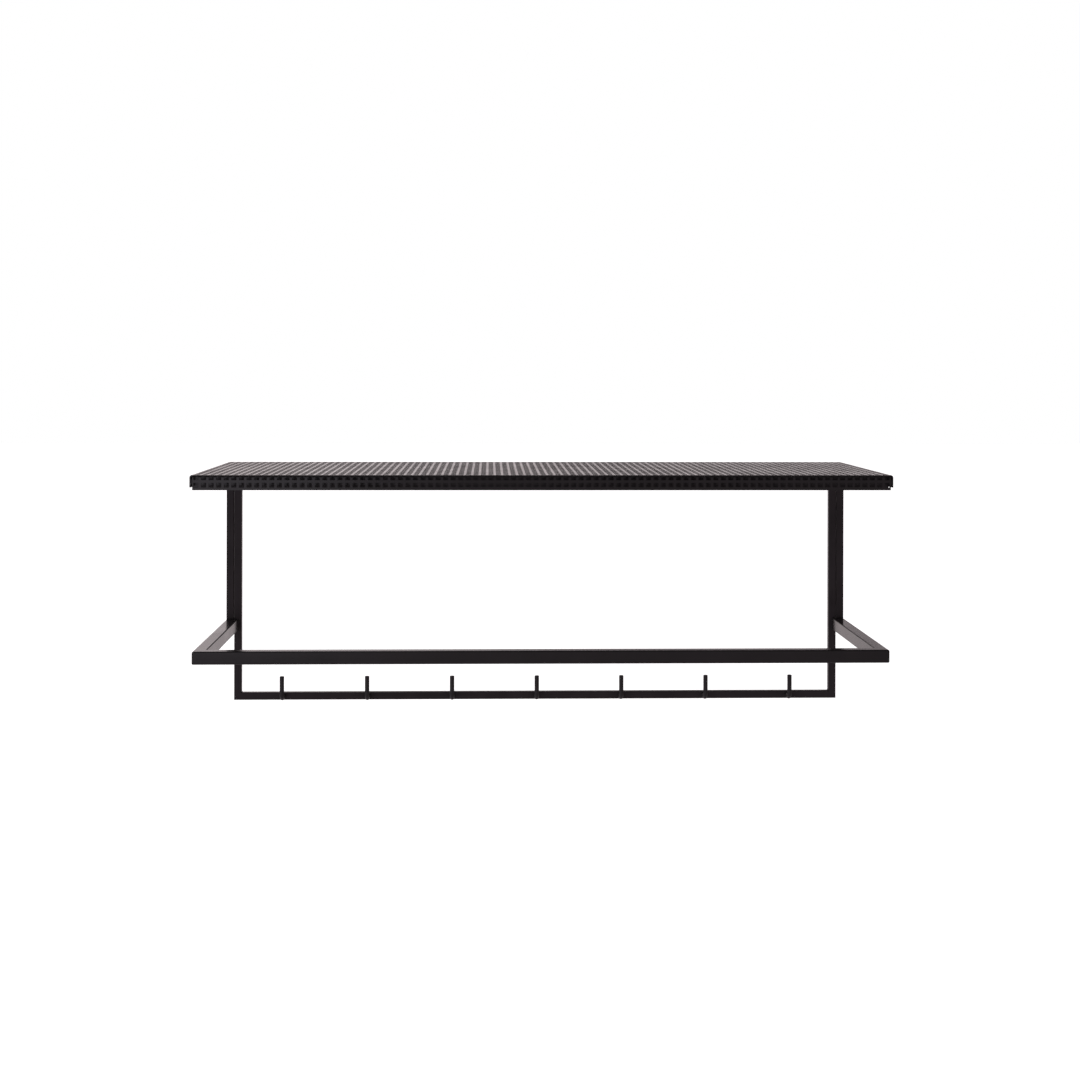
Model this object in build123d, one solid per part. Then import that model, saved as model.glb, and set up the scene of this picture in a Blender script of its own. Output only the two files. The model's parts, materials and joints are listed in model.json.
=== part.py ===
from build123d import *
import os

# A wall coat rack: a hat shelf of folded sheet on a tube frame, a clothes rail on two arms below
# it, and a rail of coat hooks at the bottom. Everything is welded from square tube.
# Axes: +X to the right, +Y into the wall, +Z up, in millimetres. The wall is the plane y = 0,
# x = 0 is the middle of the rack, and z = 0 is the centre line of the wall holes.

# The whole rack
WIDTH = 845.0
DEPTH = 303.0
HEIGHT = 324.0

# Square tube stock
SHELF_TUBE = 16.0
SHELF_TUBE_WALL = 1.5
POST_TUBE = 10.0
POST_TUBE_WALL = 1.0
CORNER_IN_WALLS = 1.2  # outside corner radius of a tube, as a multiple of its wall

# Shelf tray, folded from one sheet
SHEET = 1.5
FOLD_RADIUS = 3.2
LIP_WIDTH = 837.0
LIP_HEIGHT = 18.0
FLANGE_HEIGHT = 15.0
CORNER_NOTCH = 4.0  # sheet cut away at each front corner so that the folds stay apart

# Wall holes, drilled through both walls of the rear shelf tube
WALL_HOLE_RADIUS = 2.75
WALL_HOLE_SPACING = 700.0

# The shelf frame's front tube and the clothes rail, one above the other
FRAME_SETBACK = 22.0  # behind the front of the shelf
RAIL_DROP = 213.8  # from the shelf's top to the rail's top

# Back frame: the inner posts carry the hook rail, and stand a little inside the outer posts
POST_GAP = 0.6

# Coat hooks, bent from round bar
HOOK_COUNT = 7
HOOK_RADIUS = 3.0
HOOK_BEND_RADIUS = 7.5
HOOK_REACH = 30.0  # from the wall to the middle of the upright
HOOK_HEIGHT = 33.7  # from the underside of the foot to the tip
HOOK_TIP_ROUND = 0.8

# Heights that follow from the sizes above
SHELF_TOP = SHELF_TUBE / 2 + SHEET
FRAME_UNDERSIDE = -SHELF_TUBE / 2
RAIL_CENTRE = SHELF_TOP - RAIL_DROP - SHELF_TUBE / 2
HOOK_RAIL_CENTRE = SHELF_TOP - HEIGHT + POST_TUBE / 2

# Centre line of the shelf frame's front tube and of the clothes rail
FRAME_FRONT_Y = FRAME_SETBACK + SHELF_TUBE / 2 - DEPTH

# Where the posts stand
POST_CENTRE_Y = -POST_TUBE / 2
OUTER_POST_X = WIDTH / 2 - POST_TUBE / 2
INNER_POST_X = OUTER_POST_X - POST_TUBE - POST_GAP


def tube_section(side, wall):
    """The square ring that a tube is extruded from, with rounded corners."""
    corner = CORNER_IN_WALLS * wall
    bore = side - 2 * wall
    return RectangleRounded(side, side, corner) - RectangleRounded(bore, bore, corner - wall)


def straight_tube(start, end, side, wall):
    """A tube with square ends whose centre line runs from start to end, along an axis."""
    along = (end - start).normalized()
    across = Vector(0, 1, 0) if abs(along.X) > 0.5 else Vector(1, 0, 0)
    ring = Plane(origin=start, x_dir=across, z_dir=along) * tube_section(side, wall)
    return extrude(ring, amount=(end - start).length, dir=along)


def mitred_tubes(corners, side, wall, closed=False):
    """One tube for each straight run between corners, mitred wherever two runs meet."""
    points = [Vector(*corner) for corner in corners]
    runs = len(points) if closed else len(points) - 1
    tubes = []
    for i in range(runs):
        start, end = points[i], points[(i + 1) % len(points)]
        along = (end - start).normalized()
        meets_before = closed or i > 0
        meets_after = closed or i < runs - 1
        tube = straight_tube(
            start - along * side if meets_before else start,
            end + along * side if meets_after else end,
            side,
            wall,
        )
        if meets_before:
            before = (points[i - 1] - start).normalized()
            tube = split(tube, Plane(origin=start, z_dir=along - before), keep=Keep.TOP)
        if meets_after:
            after = (points[(i + 2) % len(points)] - end).normalized()
            tube = split(tube, Plane(origin=end, z_dir=-along - after), keep=Keep.TOP)
        tubes.append(tube)
    return tubes


def folded_section(run, drop):
    """Sheet folded through a right angle: run along the sketch's X, drop down its Y."""
    outline = Polygon(
        (0, -drop), (0, 0), (run, 0), (run, -SHEET), (SHEET, -SHEET), (SHEET, -drop), align=None
    )
    outer_corner = outline.vertices().sort_by_distance((0, 0))[0]
    outline = fillet(outer_corner, FOLD_RADIUS)
    inner_corner = outline.vertices().sort_by_distance((SHEET, -SHEET))[0]
    return fillet(inner_corner, FOLD_RADIUS - SHEET)


def shelf_tray():
    """The sheet on top, with a lip folded down in front and a flange down each side."""
    front = Plane(origin=(-LIP_WIDTH / 2, -DEPTH, SHELF_TOP), x_dir=(0, 1, 0), z_dir=(1, 0, 0))
    tray = extrude(front * folded_section(DEPTH, LIP_HEIGHT), amount=LIP_WIDTH, dir=front.z_dir)
    margin = (WIDTH - LIP_WIDTH) / 2
    side = Plane(origin=(-WIDTH / 2, 0, SHELF_TOP), x_dir=(1, 0, 0), z_dir=(0, -1, 0))
    section = side * folded_section(margin, FLANGE_HEIGHT)
    flange = extrude(section, amount=DEPTH - CORNER_NOTCH, dir=side.z_dir)
    return tray + flange + mirror(flange, about=Plane.YZ)


def shelf_frame():
    """Four mitred tubes under the sheet; the rear one is drilled for the wall screws."""
    half_width = WIDTH / 2 - SHEET - SHELF_TUBE / 2
    back = -SHELF_TUBE / 2
    corners = [
        (-half_width, FRAME_FRONT_Y, 0),
        (half_width, FRAME_FRONT_Y, 0),
        (half_width, back, 0),
        (-half_width, back, 0),
    ]
    front_tube, right_tube, back_tube, left_tube = mitred_tubes(
        corners, SHELF_TUBE, SHELF_TUBE_WALL, closed=True
    )
    for side in (-1, 1):
        hole = Plane.XZ * Pos(side * WALL_HOLE_SPACING / 2, 0, 0) * Cylinder(
            WALL_HOLE_RADIUS, 3 * SHELF_TUBE
        )
        back_tube -= hole
    return {
        "shelf_frame_front": front_tube,
        "shelf_frame_right": right_tube,
        "shelf_frame_back": back_tube,
        "shelf_frame_left": left_tube,
    }


def outer_post(side):
    """A post from the shelf frame down to the underside of the arm that is welded to it."""
    x = side * OUTER_POST_X
    top = Vector(x, POST_CENTRE_Y, FRAME_UNDERSIDE)
    bottom = Vector(x, POST_CENTRE_Y, RAIL_CENTRE - SHELF_TUBE / 2)
    return straight_tube(top, bottom, POST_TUBE, POST_TUBE_WALL)


def back_frame():
    """The U of the inner posts and the hook rail between their lower ends."""
    corners = [
        (-INNER_POST_X, POST_CENTRE_Y, FRAME_UNDERSIDE),
        (-INNER_POST_X, POST_CENTRE_Y, HOOK_RAIL_CENTRE),
        (INNER_POST_X, POST_CENTRE_Y, HOOK_RAIL_CENTRE),
        (INNER_POST_X, POST_CENTRE_Y, FRAME_UNDERSIDE),
    ]
    left_post, hook_rail, right_post = mitred_tubes(corners, POST_TUBE, POST_TUBE_WALL)
    return {
        "inner_post_left": left_post,
        "hook_rail": hook_rail,
        "inner_post_right": right_post,
    }


def rail_and_arms():
    """The clothes rail, and the arms that hold it out from the fronts of the posts."""
    half_width = WIDTH / 2 - SHELF_TUBE / 2
    corners = [
        (-half_width, -POST_TUBE, RAIL_CENTRE),
        (-half_width, FRAME_FRONT_Y, RAIL_CENTRE),
        (half_width, FRAME_FRONT_Y, RAIL_CENTRE),
        (half_width, -POST_TUBE, RAIL_CENTRE),
    ]
    left_arm, rail, right_arm = mitred_tubes(corners, SHELF_TUBE, SHELF_TUBE_WALL)
    return {
        "arm_left": left_arm,
        "clothes_rail": rail,
        "arm_right": right_arm,
    }


def coat_hook(x):
    """A bar that leaves the front of the hook rail and turns straight up to a blunt tip."""
    foot = (x, -POST_TUBE, HOOK_RAIL_CENTRE)
    heel = (x, -HOOK_REACH, HOOK_RAIL_CENTRE)
    tip = (x, -HOOK_REACH, HOOK_RAIL_CENTRE - HOOK_RADIUS + HOOK_HEIGHT)
    path = FilletPolyline(foot, heel, tip, radius=HOOK_BEND_RADIUS)
    bar = sweep(Plane(origin=foot, z_dir=(0, -1, 0)) * Circle(HOOK_RADIUS), path=path)
    tip_edge = bar.edges().sort_by(Axis.Z)[-1]
    return fillet(tip_edge, HOOK_TIP_ROUND)


def coat_hooks():
    """The hooks, each in the middle of an equal share of the room between the inner posts."""
    room = 2 * INNER_POST_X - POST_TUBE
    share = room / HOOK_COUNT
    return {
        f"coat_hook_{i + 1}": coat_hook((i + 0.5) * share - room / 2) for i in range(HOOK_COUNT)
    }


nodes = {
    "shelf_tray": shelf_tray(),
    **shelf_frame(),
    "outer_post_left": outer_post(-1),
    "outer_post_right": outer_post(1),
    **back_frame(),
    **rail_and_arms(),
    **coat_hooks(),
}

os.makedirs("parts", exist_ok=True)
for name, solid in nodes.items():
    export_step(solid, f"parts/{name}.step")
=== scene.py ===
import json
import math

import bmesh
import bpy
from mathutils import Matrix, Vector


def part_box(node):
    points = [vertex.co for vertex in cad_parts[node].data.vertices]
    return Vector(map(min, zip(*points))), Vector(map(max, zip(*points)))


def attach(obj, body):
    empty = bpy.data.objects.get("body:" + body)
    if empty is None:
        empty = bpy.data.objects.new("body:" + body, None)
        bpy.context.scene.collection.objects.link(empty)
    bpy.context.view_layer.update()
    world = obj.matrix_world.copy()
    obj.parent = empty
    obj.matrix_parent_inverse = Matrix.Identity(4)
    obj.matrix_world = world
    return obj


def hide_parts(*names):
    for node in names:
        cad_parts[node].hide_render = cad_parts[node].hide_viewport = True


# A wall coat rack in satin black powder coat: a folded, perforated sheet on a tube frame, a
# clothes rail on two arms, and a rail of seven coat hooks. The row frame has +X to the right,
# +Y into the wall and +Z up, and every length here is in metres.

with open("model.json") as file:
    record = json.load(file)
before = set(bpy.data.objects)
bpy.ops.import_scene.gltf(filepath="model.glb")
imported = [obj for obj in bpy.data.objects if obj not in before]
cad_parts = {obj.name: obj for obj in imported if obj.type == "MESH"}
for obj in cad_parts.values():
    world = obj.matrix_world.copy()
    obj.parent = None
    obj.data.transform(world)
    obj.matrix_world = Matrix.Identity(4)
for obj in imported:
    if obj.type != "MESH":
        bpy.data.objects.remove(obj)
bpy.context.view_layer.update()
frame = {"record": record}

MM = 0.001
X = Vector((1, 0, 0))
Y = Vector((0, 1, 0))
Z = Vector((0, 0, 1))

# The perforated sheet
SHEET = 1.5 * MM
FOLD_RADIUS = 3.2 * MM  # outside
FOLD_STEPS = 6
LIP_WIDTH = 837 * MM
CORNER_NOTCH = 4 * MM
FLANGE_HEIGHT = 15 * MM
HOLE = 6 * MM  # square holes
PITCH = 9 * MM
COLUMNS_EACH_SIDE = 46  # of the one in the middle
ROWS = 35
FIRST_ROW = 3 * MM  # from the lip's bottom edge, measured along the sheet
FIRST_FLANGE_ROW = 2
FLANGE_HOLE_RISE = 3 * MM  # from the flange's bottom edge
PUNCHED_EDGE = 0.2 * MM
PUNCHED_ANGLE = math.radians(40)  # the least turn of an edge that punching has dulled

# Square tube
CORNER_IN_WALLS = 1.2
CORNER_STEPS = 6
SHELF_TUBE_WALL = 1.5 * MM
POST_TUBE_WALL = 1.0 * MM
SCREW_HOLE_SIDES = 32

# Coat hooks
HOOK_COUNT = 7
HOOK_BEND_RADIUS = 7.5 * MM
HOOK_TIP_ROUND = 0.8 * MM
HOOK_SIDES = 32
BEND_STEPS = 14
TIP_STEPS = 5
WORN_FROM = 0.3  # of a hook's height

# Weld beads
BEAD_RADIUS = 0.9 * MM
CORNER_BEAD_RADIUS = 1.1 * MM
BEAD_END = 0.35  # how thick a bead is where it starts, as a part of its radius
POST_BEAD_INSET = 1.5 * MM  # from the outer sides of the two posts
RIPPLE = 1.3 * MM  # from one ripple of a bead to the next
RIPPLE_DEPTH = 0.12
BEAD_SIDES = 10
STEPS_PER_RIPPLE = 5

# The least turn between two faces that breaks the shading
SHARP = math.radians(35)
SHARP_ON_A_HOOK = math.radians(60)

# The camera, level and a little above the shelf
LENS = 56.95  # mm
CAMERA_PLACE = (-0.0649, -2.3475, 0.1337)
CAMERA_YAW = math.radians(-1.69)
CAMERA_ROLL = math.radians(-0.12)
VIEW_DROP = 0.156  # of the picture's width

# The studio
FLOOR_HALF_SIZE = 30
FLOOR_DROP = 1.25
SOFTBOX_SIZE = (1.5, 1.4)
SOFTBOX_PLACE = Vector((-1.2, -2.9, 0.1))
SOFTBOX_AIM = Vector((-0.2, -0.15, -0.1))
SOFTBOX_WATTS = 3.6
SOFTBOX_COLOUR = (0.92, 0.90, 1.00)
WHITE = (1, 1, 1, 1)
WALL_HIGH = (1.0, 0.90, 0.91, 1)
WALL_LOW = (0.38, 0.335, 0.345, 1)
WALL_CORNER = (0.23, 0.20, 0.21, 1)  # up on the right
ROOM_LEFT = (0.38, 0.35, 0.38, 1)
ROOM_RIGHT = (0.25, 0.215, 0.225, 1)
CEILING = (0.05, 0.05, 0.05, 1)

# Where the surroundings change, each as a range of a direction's part along one axis
WALL_RISE = (-0.4, 0.1)
WALL_DEPTH = (0.3, 0.75)
CORNER_ACROSS = (-0.16, 0.1)
CORNER_RISE = (0.07, 0.16)
CORNER_ON_THE_LEFT = 0.3  # how much of the dark corner reaches the left
ROOM_ACROSS = (-0.5, 0.4)
CEILING_RISE = (0.15, 0.7)

# The coating. The widths are those of its patches, flecks and so on.
CLOUD_WIDTH = 40 * MM
SCUFF_WIDTH = 6 * MM
FLECK_WIDTH = 0.45 * MM
PEEL_WIDTH = 1.4 * MM
GRAIN_WIDTH = 0.3 * MM
GRAIN_DEPTH = 0.12  # as a part of the depth of the orange peel
BLACK = (0.0215, 0.0180, 0.0192, 1)
DEEP_BLACK = (0.0165, 0.0140, 0.0150, 1)
# The matt blacks and MATT_SHINE make a matt copy of the coat for the posts and the hook rail.
# That copy is painted shade: its low shine darkens their sides, standing in for the shadow that a
# wall casts beside the posts.
MATT_BLACK = (0.066, 0.058, 0.061, 1)
DEEP_MATT_BLACK = (0.052, 0.046, 0.048, 1)
THIN_COAT = (0.040, 0.035, 0.037, 1)
DRY_ROUGHNESS = 0.35  # added to the roughness where the coat is dry
RUBBED_GLOSS = 0.1  # taken from the roughness where the coat is rubbed
SATIN_SHINE = 0.5  # the shader's specular level
MATT_SHINE = 0.08


# ---------------------------------------------------------------------------------------------
# Materials


def add(tree, kind, **settings):
    """A new node of that kind, with its settings."""
    node = tree.nodes.new(kind)
    for name, value in settings.items():
        setattr(node, name, value)
    return node


def feed(tree, socket, value):
    """Links value into the socket if it's a socket itself, and otherwise sets it."""
    if isinstance(value, bpy.types.NodeSocket):
        tree.links.new(value, socket)
    else:
        socket.default_value = value


def noise(tree, position, cell, detail=2.0, roughness=0.5):
    """Noise from 0 to 1 whose features are about one cell wide."""
    node = add(tree, "ShaderNodeTexNoise")
    feed(tree, node.inputs["Vector"], position)
    feed(tree, node.inputs["Scale"], 1 / cell)
    feed(tree, node.inputs["Detail"], detail)
    feed(tree, node.inputs["Roughness"], roughness)
    return node.outputs["Fac"]


def ramp(tree, value, start, end, low=0.0, high=1.0):
    """Value carried from start..end to low..high, smoothly and clamped."""
    node = add(tree, "ShaderNodeMapRange", interpolation_type="SMOOTHSTEP")
    for name, given in zip(
        ("Value", "From Min", "From Max", "To Min", "To Max"), (value, start, end, low, high)
    ):
        feed(tree, node.inputs[name], given)
    return node.outputs["Result"]


def math_node(tree, operation, first, second):
    """The result of one step of arithmetic."""
    node = add(tree, "ShaderNodeMath", operation=operation)
    feed(tree, node.inputs[0], first)
    feed(tree, node.inputs[1], second)
    return node.outputs[0]


def mix(tree, factor, first, second):
    """A colour between first and second."""
    node = add(tree, "ShaderNodeMix", data_type="RGBA")
    feed(tree, node.inputs[0], factor)
    feed(tree, node.inputs[6], first)
    feed(tree, node.inputs[7], second)
    return node.outputs[2]


def bump(tree, height, distance, below=None):
    """A normal bumped by height, on top of the normal below."""
    node = add(tree, "ShaderNodeBump")
    feed(tree, node.inputs["Height"], height)
    feed(tree, node.inputs["Distance"], distance)
    if below is not None:
        tree.links.new(below, node.inputs["Normal"])
    return node.outputs["Normal"]


def edge_mask(tree):
    """1 on a rounded edge, where the surface faces between two axes, and 0 on a flat."""
    facing = add(tree, "ShaderNodeNewGeometry").outputs["Normal"]
    size = add(tree, "ShaderNodeVectorMath", operation="ABSOLUTE")
    feed(tree, size.inputs[0], facing)
    parts = add(tree, "ShaderNodeSeparateXYZ")
    feed(tree, parts.inputs[0], size.outputs[0])
    largest = math_node(tree, "MAXIMUM", parts.outputs[0], parts.outputs[1])
    largest = math_node(tree, "MAXIMUM", largest, parts.outputs[2])
    # The largest part of the normal is 1 on a flat and 0.71 halfway round an edge.
    return ramp(tree, largest, 0.98, 0.74)


def height_mask(tree, position, bottom, top):
    """1 between two heights and 0 outside them, with soft borders."""
    parts = add(tree, "ShaderNodeSeparateXYZ")
    feed(tree, parts.inputs[0], position)
    border = 3 * MM
    above = ramp(tree, parts.outputs[2], bottom - border, bottom + border)
    below = ramp(tree, parts.outputs[2], top + border, top - border)
    return math_node(tree, "MULTIPLY", above, below)


def powder_coat(name, gloss, peel, dry=None, rubbed=None, matt=False):
    """Black powder coat, satin or matt. The matt one is a copy of the satin coat with little
    shine, and is painted shade. gloss is its range of roughness, and peel the depth of its orange
    peel. dry makes the mask of the edges, where the coat is thin and matt, and rubbed the mask of
    the places that hands and coats have polished."""
    material = bpy.data.materials.new(name)
    material.use_nodes = True
    tree = material.node_tree
    shader = tree.nodes["Principled BSDF"]
    position = add(tree, "ShaderNodeTexCoord").outputs["Object"]

    clouds = noise(tree, position, CLOUD_WIDTH, 3.0)
    flecks = noise(tree, position, FLECK_WIDTH, 1.0)
    scuffs = ramp(tree, noise(tree, position, SCUFF_WIDTH, 4.0, 0.65), 0.35, 0.65)

    # Most of a noise lies between 0.3 and 0.7.
    blacks = (DEEP_MATT_BLACK, MATT_BLACK) if matt else (DEEP_BLACK, BLACK)
    paint = mix(tree, ramp(tree, clouds, 0.3, 0.7), *blacks)
    paint = mix(tree, ramp(tree, flecks, 0.58, 0.75, 0.0, 0.35), paint, THIN_COAT)
    low, high = gloss
    rough = ramp(tree, clouds, 0.25, 0.75, low, high)
    rough = math_node(tree, "ADD", rough, ramp(tree, flecks, 0.3, 0.7, -0.02, 0.02))
    if dry:
        edges = dry(tree)
        dryness = math_node(tree, "MULTIPLY", edges, ramp(tree, scuffs, 0.0, 1.0, 0.75, 1.0))
        extra = math_node(tree, "MULTIPLY", dryness, DRY_ROUGHNESS)
        rough = math_node(tree, "ADD", rough, extra)
        paint = mix(tree, math_node(tree, "MULTIPLY", dryness, 0.3), paint, THIN_COAT)
    if rubbed:
        polish = math_node(tree, "MULTIPLY", rubbed(tree, position), scuffs)
        less = math_node(tree, "MULTIPLY", polish, RUBBED_GLOSS)
        rough = math_node(tree, "SUBTRACT", rough, less)
        paint = mix(tree, math_node(tree, "MULTIPLY", polish, 0.5), paint, THIN_COAT)
    tree.links.new(paint, shader.inputs["Base Color"])
    tree.links.new(rough, shader.inputs["Roughness"])

    peel_height = noise(tree, position, PEEL_WIDTH, 1.5)
    grain_height = noise(tree, position, GRAIN_WIDTH, 1.0)
    surface = bump(tree, peel_height, peel)
    surface = bump(tree, grain_height, peel * GRAIN_DEPTH, surface)
    tree.links.new(surface, shader.inputs["Normal"])
    shader.inputs["IOR"].default_value = 1.5
    shader.inputs["Specular IOR Level"].default_value = MATT_SHINE if matt else SATIN_SHINE
    return material


def hook_wear(tree, position):
    """Coats rub the upright of a hook, from just above its bend."""
    low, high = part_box("coat_hook_1")
    worn_bottom = low.z + (high.z - low.z) * WORN_FROM
    return height_mask(tree, position, worn_bottom, high.z)


sheet_coating = powder_coat("sheet_powder_coat", (0.17, 0.22), 0.03 * MM, dry=edge_mask)
tube_coating = powder_coat("tube_powder_coat", (0.17, 0.23), 0.03 * MM, dry=edge_mask)
# Painted shade: the posts and the hook rail have the same satin coat as the tubes. This matt,
# low-shine copy darkens their sides, in place of the shadow that a wall casts beside the posts.
post_coating_painted_shade = powder_coat(
    "post_powder_coat_painted_shade", (0.28, 0.34), 0.04 * MM, dry=edge_mask, matt=True
)
hook_coating = powder_coat("hook_powder_coat", (0.36, 0.42), 0.025 * MM, rubbed=hook_wear)
weld_coating = powder_coat("weld_powder_coat", (0.42, 0.5), 0.05 * MM, dry=edge_mask)


# ---------------------------------------------------------------------------------------------
# Pieces


def piece(name, mesh, material):
    """A piece of the rack from its bmesh, smooth where it is round and flat where it is flat."""
    bmesh.ops.recalc_face_normals(mesh, faces=mesh.faces)
    data = bpy.data.meshes.new(name)
    mesh.to_mesh(data)
    mesh.free()
    data.shade_smooth()
    data.materials.append(material)
    made = bpy.data.objects.new(name, data)
    bpy.context.scene.collection.objects.link(made)
    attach(made, "root")
    return made


def keep_flats_flat(made, sharp=SHARP):
    """Normals weighted by area: a flat stays flat up to the round beside it."""
    made.data.set_sharp_from_angle(angle=sharp)
    weighted = made.modifiers.new("weighted_normals", "WEIGHTED_NORMAL")
    weighted.keep_sharp = True
    return made


def rings(mesh, loops, closed):
    """Skins the loops one after another. Each loop is a list of points, all the same count."""
    rows = [[mesh.verts.new(point) for point in loop] for loop in loops]
    pairs = list(zip(rows, rows[1:]))
    if closed:
        pairs.append((rows[-1], rows[0]))
    for near, far in pairs:
        for i in range(len(near)):
            j = (i + 1) % len(near)
            mesh.faces.new((near[i], near[j], far[j], far[i]))
    return rows


# The perforated sheet, laid out flat as a grid. "Across" runs from the middle to each side and
# over the side folds, and "along" runs from the lip's bottom edge, over the front fold, to the
# back. Both are measured in the middle of the sheet's thickness.


def sheet_layout():
    """The sheet's lengths in the flat, worked out from the CAD tray's box."""
    low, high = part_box("shelf_tray")
    bend = math.pi / 2 * (FOLD_RADIUS - SHEET / 2)
    lip = high.z - low.z - FOLD_RADIUS
    flat_across = high.x - FOLD_RADIUS
    flat_along = high.y - low.y - FOLD_RADIUS
    return {
        "low": low,
        "high": high,
        "bend": bend,
        "lip": lip,
        "front_fold_end": lip + bend,
        "notch_end": lip + bend + CORNER_NOTCH - FOLD_RADIUS,
        "back": lip + bend + flat_along,
        "side_fold_start": flat_across,
        "flange_end": flat_across + bend + FLANGE_HEIGHT - FOLD_RADIUS,
    }


def fold_lines(start, bend):
    """Where the grid's lines cross a fold."""
    return [start + bend * i / FOLD_STEPS for i in range(FOLD_STEPS + 1)]


def lines_across(flat):
    """Where the grid's lines cross the sheet: the holes' sides, the folds and the edges."""
    half = [i * PITCH + side * HOLE / 2 for i in range(COLUMNS_EACH_SIDE + 1) for side in (-1, 1)]
    half += [LIP_WIDTH / 2, flat["flange_end"]]
    half += fold_lines(flat["side_fold_start"], flat["bend"])
    flange_hole_end = flat["flange_end"] - FLANGE_HOLE_RISE
    half += [flange_hole_end - HOLE, flange_hole_end]
    half = sorted(line for line in half if line > 0)
    return [-line for line in reversed(half)] + half


def lines_along(flat):
    """Where the grid's lines run across the depth: the holes' ends, the fold and the edges."""
    lines = [FIRST_ROW + k * PITCH + end for k in range(ROWS) for end in (0, HOLE)]
    lines += [0, flat["notch_end"], flat["back"]]
    lines += fold_lines(flat["lip"], flat["bend"])
    return sorted(lines)


def is_metal(flat, across, along):
    """True unless that place on the flat sheet is in a hole or a corner notch."""
    side = abs(across)
    if side > LIP_WIDTH / 2 and along < flat["notch_end"]:
        return False
    row = math.floor((along - FIRST_ROW) / PITCH)
    if not 0 <= row < ROWS or along - FIRST_ROW - row * PITCH > HOLE:
        return True
    column = round(side / PITCH)
    if column <= COLUMNS_EACH_SIDE and abs(side - column * PITCH) < HOLE / 2:
        return False
    rise = flat["flange_end"] - side
    in_flange_hole = FLANGE_HOLE_RISE < rise < FLANGE_HOLE_RISE + HOLE
    return not (in_flange_hole and row >= FIRST_FLANGE_ROW)


def fold(past, bend):
    """How far a point past the start of a fold has gone on and down, and the way it faces."""
    angle = min(max(past / bend, 0), 1) * math.pi / 2
    on = FOLD_RADIUS * math.sin(angle) if past > 0 else past
    down = FOLD_RADIUS * (1 - math.cos(angle)) + max(past - bend, 0)
    return on, down, angle


def sheet_point(flat, across, along, depth):
    """A point of the folded sheet, depth below its outer face."""
    side = math.copysign(1, across)
    out, down_side, roll = fold(abs(across) - flat["side_fold_start"], flat["bend"])
    forward, down_front, pitch = fold(flat["front_fold_end"] - along, flat["bend"])
    outer = Vector(
        (
            side * (flat["side_fold_start"] + out),
            flat["low"].y + FOLD_RADIUS - forward,
            flat["high"].z - down_side - down_front,
        )
    )
    facing = Vector(
        (
            side * math.sin(roll),
            -math.sin(pitch),
            math.cos(roll) * math.cos(pitch),
        )
    )
    return outer - facing * depth


def perforated_sheet():
    """The folded sheet with its square holes: both faces and the wall of every edge."""
    flat = sheet_layout()
    across = lines_across(flat)
    along = lines_along(flat)
    metal = {
        (i, j)
        for i in range(len(across) - 1)
        for j in range(len(along) - 1)
        if is_metal(flat, (across[i] + across[i + 1]) / 2, (along[j] + along[j + 1]) / 2)
    }
    mesh = bmesh.new()
    corners = {}

    def corner(i, j, depth):
        """The vertex where two of the grid's lines cross, made when it is first asked for."""
        if (i, j, depth) not in corners:
            point = sheet_point(flat, across[i], along[j], depth)
            corners[i, j, depth] = mesh.verts.new(point)
        return corners[i, j, depth]

    for i, j in sorted(metal):
        around = [(i, j), (i + 1, j), (i + 1, j + 1), (i, j + 1)]
        mesh.faces.new([corner(*place, 0) for place in around])
        mesh.faces.new([corner(*place, SHEET) for place in reversed(around)])
        beyond = [(i, j - 1), (i + 1, j), (i, j + 1), (i - 1, j)]
        for k, neighbour in enumerate(beyond):
            if neighbour not in metal:
                start, end = around[k], around[(k + 1) % 4]
                wall = [corner(*start, 0), corner(*start, SHEET)]
                mesh.faces.new(wall + [corner(*end, SHEET), corner(*end, 0)])
    made = piece("perforated_sheet", mesh, sheet_coating)
    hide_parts("shelf_tray")
    punched = made.modifiers.new("punched_edges", "BEVEL")
    punched.width = PUNCHED_EDGE
    punched.segments = 1
    punched.limit_method = "ANGLE"
    punched.angle_limit = PUNCHED_ANGLE
    keep_flats_flat(made)


def rounded_square(side, radius, first, second):
    """The corners of a square with rounded corners, in the plane of two directions."""
    points = []
    for quarter in range(4):
        turn = quarter * math.pi / 2
        centre = side / 2 - radius
        spot_x = centre * (math.cos(turn) - math.sin(turn))
        spot_y = centre * (math.sin(turn) + math.cos(turn))
        for i in range(CORNER_STEPS + 1):
            angle = turn + math.pi / 2 * i / CORNER_STEPS
            a = spot_x + radius * math.cos(angle)
            b = spot_y + radius * math.sin(angle)
            points.append(first * a + second * b)
    return points


def tube(node, wall, coating, along, low_turn=None, high_turn=None):
    """A square tube in place of the CAD one. low_turn and high_turn are the ways that the
    neighbouring tubes lead away from its mitred ends."""
    low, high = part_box(node)
    first, second = [axis for axis in (X, Y, Z) if axis != along]
    side = (high - low).dot(first)
    middle = (low + high) / 2
    middle -= along * middle.dot(along)
    start = low.dot(along) + (side / 2 if low_turn else 0)
    end = high.dot(along) - (side / 2 if high_turn else 0)
    radius = CORNER_IN_WALLS * wall
    outer = rounded_square(side, radius, first, second)
    inner = rounded_square(side - 2 * wall, radius - wall, first, second)

    def cut(section, where, turn, sign):
        """The tube's section at one of its ends, cut to the mitre."""
        return [middle + along * (where - sign * p.dot(turn or Vector())) + p for p in section]

    mesh = bmesh.new()
    loops = [
        cut(outer, start, low_turn, -1),
        cut(outer, end, high_turn, 1),
        cut(inner, end, high_turn, 1),
        cut(inner, start, low_turn, -1),
    ]
    rings(mesh, loops, closed=True)
    made = piece(node + "_tube", mesh, coating)
    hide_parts(node)
    return keep_flats_flat(made)


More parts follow.
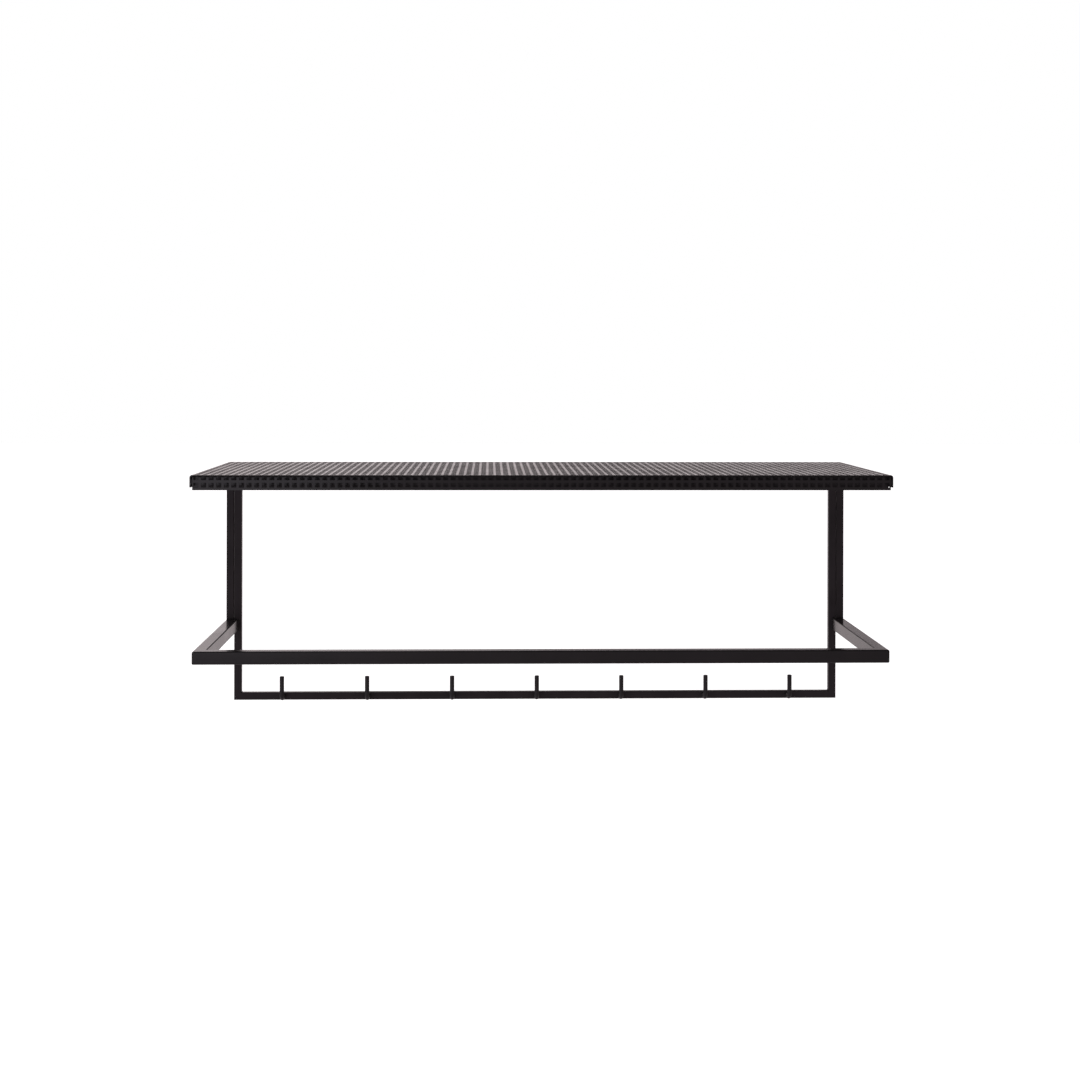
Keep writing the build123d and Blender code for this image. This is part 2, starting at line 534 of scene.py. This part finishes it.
def coat_hook(node):
    """A round bar that leaves the hook rail and turns straight up to a blunt tip."""
    low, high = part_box(node)
    radius = (high.x - low.x) / 2
    x = (low.x + high.x) / 2
    foot = Vector((x, high.y, low.z + radius))
    heel = Vector((x, low.y + radius, low.z + radius))
    bend_centre = heel + Vector((0, HOOK_BEND_RADIUS, HOOK_BEND_RADIUS))
    stations = [(foot, 0, radius)]
    for i in range(BEND_STEPS + 1):
        angle = math.pi / 2 * i / BEND_STEPS
        swing = Vector((0, -math.sin(angle), -math.cos(angle)))
        stations.append((bend_centre + swing * HOOK_BEND_RADIUS, angle, radius))
    for i in range(TIP_STEPS + 1):
        angle = math.pi / 2 * i / TIP_STEPS
        height = high.z - HOOK_TIP_ROUND * (1 - math.sin(angle))
        narrowed = radius - HOOK_TIP_ROUND * (1 - math.cos(angle))
        stations.append((Vector((x, heel.y, height)), math.pi / 2, narrowed))
    mesh = bmesh.new()
    loops = []
    for centre, angle, size in stations:
        across = Vector((0, math.sin(angle), math.cos(angle)))
        loop = []
        for i in range(HOOK_SIDES):
            turn = 2 * math.pi * i / HOOK_SIDES
            loop.append(centre + (X * math.cos(turn) + across * math.sin(turn)) * size)
        loops.append(loop)
    rows = rings(mesh, loops, closed=False)
    mesh.faces.new(rows[0])
    mesh.faces.new(rows[-1])
    made = piece(node + "_bar", mesh, hook_coating)
    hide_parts(node)
    keep_flats_flat(made, SHARP_ON_A_HOOK)


# Weld beads. A bead follows a line of points; its ripples run at an even spacing along it.


def evenly(points, spacing, closed):
    """Points at an even spacing along the line through points."""
    line = points + points[:1] if closed else points
    lengths = [(b - a).length for a, b in zip(line, line[1:])]
    total = sum(lengths)
    count = max(3, round(total / spacing))
    placed = []
    for i in range(count if closed else count + 1):
        rest = total * i / count
        for k, length in enumerate(lengths):
            if rest <= length or k == len(lengths) - 1:
                placed.append(line[k].lerp(line[k + 1], rest / length))
                break
            rest -= length
    return placed


def bead(name, points, radius, normal, closed=False):
    """A rippled weld bead. normal is a direction that the line of points is never parallel to."""
    path = evenly(points, RIPPLE / STEPS_PER_RIPPLE, closed)
    last = len(path) - 1
    loops = []
    for i, point in enumerate(path):
        before = path[i - 1] if closed or i > 0 else point
        after = path[(i + 1) % len(path)] if closed or i < last else point
        ahead = (after - before).normalized()
        side = ahead.cross(normal).normalized()
        up = side.cross(ahead)
        ripple = 1 - RIPPLE_DEPTH * (i % STEPS_PER_RIPPLE) / STEPS_PER_RIPPLE
        to_end = min(i, last - i) / STEPS_PER_RIPPLE
        taper = 1 if closed else BEAD_END + (1 - BEAD_END) * min(1, to_end)
        size = radius * ripple * taper
        loop = []
        for k in range(BEAD_SIDES):
            turn = 2 * math.pi * k / BEAD_SIDES
            loop.append(point + (side * math.cos(turn) + up * math.sin(turn)) * size)
        loops.append(loop)
    mesh = bmesh.new()
    rows = rings(mesh, loops, closed)
    if not closed:
        mesh.faces.new(rows[0])
        mesh.faces.new(rows[-1])
    piece(name, mesh, weld_coating)


def hook_weld(number):
    """The bead round a hook's foot, on the front of the hook rail."""
    low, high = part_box(f"coat_hook_{number}")
    radius = (high.x - low.x) / 2
    centre = Vector(((low.x + high.x) / 2, high.y, low.z + radius))
    turns = [2 * math.pi * i / HOOK_SIDES for i in range(HOOK_SIDES)]
    ring = [centre + (X * math.cos(t) + Z * math.sin(t)) * radius for t in turns]
    bead(f"weld_hook_{number}", ring, BEAD_RADIUS, Y, closed=True)


def arm_weld(side_name, side):
    """The bead on the fronts of the two posts, over, inside and under the arm's end."""
    low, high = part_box(f"arm_{side_name}")
    centre = Vector(((low.x + high.x) / 2, high.y, (low.z + high.z) / 2))
    width = high.z - low.z
    section = rounded_square(width, CORNER_IN_WALLS * SHELF_TUBE_WALL, X * side, Z)
    reach = width / 2 - 2 * BEAD_RADIUS
    line = [centre + point for point in section if point.x * side < reach]
    bead(f"weld_arm_{side_name}", line, BEAD_RADIUS, Y)


def post_weld(side_name):
    """The bead along the tops of the two posts, under the shelf frame."""
    inner_low, inner_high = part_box(f"inner_post_{side_name}")
    outer_low, outer_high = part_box(f"outer_post_{side_name}")
    inset = X * POST_BEAD_INSET
    start = Vector((min(inner_low.x, outer_low.x), inner_low.y, inner_high.z)) + inset
    end = Vector((max(inner_high.x, outer_high.x), outer_low.y, outer_high.z)) - inset
    bead(f"weld_posts_{side_name}", [start, end], BEAD_RADIUS, Z)


def corner_welds():
    """The short beads in the inside corners of the rail and of the hook rail's frame."""
    rail_low, rail_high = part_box("clothes_rail")
    hook_rail_low, hook_rail_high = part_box("hook_rail")
    for side_name, side in (("left", -1), ("right", 1)):
        arm_inner = rail_high.x - (rail_high.z - rail_low.z)
        inset = SHELF_TUBE_WALL
        top = Vector((side * arm_inner, rail_high.y, rail_high.z - inset))
        bottom = Vector((side * arm_inner, rail_high.y, rail_low.z + inset))
        bead(f"weld_rail_{side_name}", [bottom, top], CORNER_BEAD_RADIUS, Y)
        post_inner = hook_rail_high.x - (hook_rail_high.z - hook_rail_low.z)
        front = Vector((side * post_inner, hook_rail_low.y + inset, hook_rail_high.z))
        back = Vector((side * post_inner, hook_rail_high.y - inset, hook_rail_high.z))
        bead(f"weld_hook_rail_{side_name}", [front, back], CORNER_BEAD_RADIUS, Z)


def drill_screw_holes(back_tube):
    """Cuts the two wall-screw holes through the rear tube of the shelf frame."""
    holes = next(m for m in frame["record"]["mounts"] if m["name"] == "wall_holes")
    spacing = holes["dims"]["spacing_x_mm"] * MM
    radius = holes["dims"]["hole_r_mm"] * MM
    low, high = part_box("shelf_frame_back")
    mesh = bmesh.new()
    for side in (-1, 1):
        circle = []
        for i in range(SCREW_HOLE_SIDES):
            turn = 2 * math.pi * i / SCREW_HOLE_SIDES
            circle.append((X * math.cos(turn) + Z * math.sin(turn)) * radius)
        loops = []
        for y in (low.y - SHEET, high.y + SHEET):
            centre = Vector((side * spacing / 2, y, (low.z + high.z) / 2))
            loops.append([centre + point for point in circle])
        rows = rings(mesh, loops, closed=False)
        mesh.faces.new(rows[0])
        mesh.faces.new(rows[-1])
    bmesh.ops.recalc_face_normals(mesh, faces=mesh.faces)
    data = bpy.data.meshes.new("drill")
    mesh.to_mesh(data)
    mesh.free()
    drill = bpy.data.objects.new("drill", data)
    bpy.context.scene.collection.objects.link(drill)
    cut = back_tube.modifiers.new("screw_holes", "BOOLEAN")
    cut.object = drill
    cut.solver = "EXACT"
    bpy.context.view_layer.objects.active = back_tube
    bpy.ops.object.modifier_move_to_index(modifier=cut.name, index=0)
    bpy.ops.object.modifier_apply(modifier=cut.name)
    bpy.data.objects.remove(drill)


perforated_sheet()
drill_screw_holes(tube("shelf_frame_back", SHELF_TUBE_WALL, tube_coating, X, -Y, -Y))
for name, along, low_turn, high_turn in (
    ("shelf_frame_front", X, Y, Y),
    ("shelf_frame_left", Y, X, X),
    ("shelf_frame_right", Y, -X, -X),
    ("clothes_rail", X, Y, Y),
    ("arm_left", Y, X, None),
    ("arm_right", Y, -X, None),
):
    tube(name, SHELF_TUBE_WALL, tube_coating, along, low_turn, high_turn)
for name, along, low_turn, high_turn in (
    ("outer_post_left", Z, None, None),
    ("outer_post_right", Z, None, None),
    ("inner_post_left", Z, X, None),
    ("inner_post_right", Z, -X, None),
    ("hook_rail", X, Z, Z),
):
    tube(name, POST_TUBE_WALL, post_coating_painted_shade, along, low_turn, high_turn)
for number in range(1, HOOK_COUNT + 1):
    coat_hook(f"coat_hook_{number}")
    hook_weld(number)
for side_name, side in (("left", -1), ("right", 1)):
    arm_weld(side_name, side)
    post_weld(side_name)
corner_welds()


# ---------------------------------------------------------------------------------------------
# Camera, floor and light


def make_camera():
    """Level, a little above the shelf and left of the middle, with the view shifted down."""
    data = bpy.data.cameras.new("camera")
    data.sensor_width = 36
    data.lens = LENS
    data.shift_y = -VIEW_DROP
    data.clip_end = 100
    camera = bpy.data.objects.new("camera", data)
    camera.location = CAMERA_PLACE
    camera.rotation_euler = (math.radians(90), CAMERA_ROLL, CAMERA_YAW)
    bpy.context.scene.collection.objects.link(camera)
    bpy.context.scene.camera = camera


def make_floor():
    """A plain white floor, well below the rack as under a rack on a wall. It doesn't show in the
    coating's reflections, which come from the surroundings."""
    mesh = bmesh.new()
    bmesh.ops.create_grid(mesh, x_segments=2, y_segments=2, size=FLOOR_HALF_SIZE)
    data = bpy.data.meshes.new("floor")
    mesh.to_mesh(data)
    mesh.free()
    floor = bpy.data.objects.new("floor", data)
    floor.location.z = -FLOOR_DROP
    floor.visible_glossy = False
    floor.visible_diffuse = False
    floor.visible_shadow = False
    bpy.context.scene.collection.objects.link(floor)
    material = bpy.data.materials.new("white_floor")
    material.use_nodes = True
    shader = material.node_tree.nodes["Principled BSDF"]
    shader.inputs["Base Color"].default_value = WHITE
    shader.inputs["Emission Color"].default_value = WHITE
    shader.inputs["Emission Strength"].default_value = 1
    data.materials.append(material)


def make_surroundings():
    """A pale studio wall behind the rack, which turns darker low down and up on the right, and a
    dim room in front of it and at its sides. The camera itself sees plain white."""
    world = bpy.data.worlds.new("studio")
    world.use_nodes = True
    bpy.context.scene.world = world
    tree = world.node_tree
    background = tree.nodes["Background"]
    parts = add(tree, "ShaderNodeSeparateXYZ")
    feed(tree, parts.inputs[0], add(tree, "ShaderNodeTexCoord").outputs["Generated"])
    left_right, depth, height = parts.outputs
    wall = mix(tree, ramp(tree, height, *WALL_RISE), WALL_LOW, WALL_HIGH)
    from_left = ramp(tree, left_right, *CORNER_ACROSS, CORNER_ON_THE_LEFT, 1.0)
    to_corner = math_node(tree, "MULTIPLY", from_left, ramp(tree, height, *CORNER_RISE))
    wall = mix(tree, to_corner, wall, WALL_CORNER)
    room = mix(tree, ramp(tree, left_right, *ROOM_ACROSS), ROOM_LEFT, ROOM_RIGHT)
    room = mix(tree, ramp(tree, height, *CEILING_RISE), room, CEILING)
    light = mix(tree, ramp(tree, depth, *WALL_DEPTH), room, wall)
    seen = add(tree, "ShaderNodeLightPath").outputs["Is Camera Ray"]
    tree.links.new(mix(tree, seen, light, WHITE), background.inputs["Color"])


def make_softbox():
    """A cool softbox in front and to the left."""
    data = bpy.data.lights.new("softbox", "AREA")
    data.shape = "RECTANGLE"
    data.size, data.size_y = SOFTBOX_SIZE
    data.energy = SOFTBOX_WATTS
    data.color = SOFTBOX_COLOUR
    softbox = bpy.data.objects.new("softbox", data)
    softbox.location = SOFTBOX_PLACE
    aim = SOFTBOX_AIM - SOFTBOX_PLACE
    softbox.rotation_euler = aim.to_track_quat("-Z", "Y").to_euler()
    bpy.context.scene.collection.objects.link(softbox)


make_camera()
make_floor()
make_surroundings()
make_softbox()
bpy.context.scene.view_settings.view_transform = "Standard"
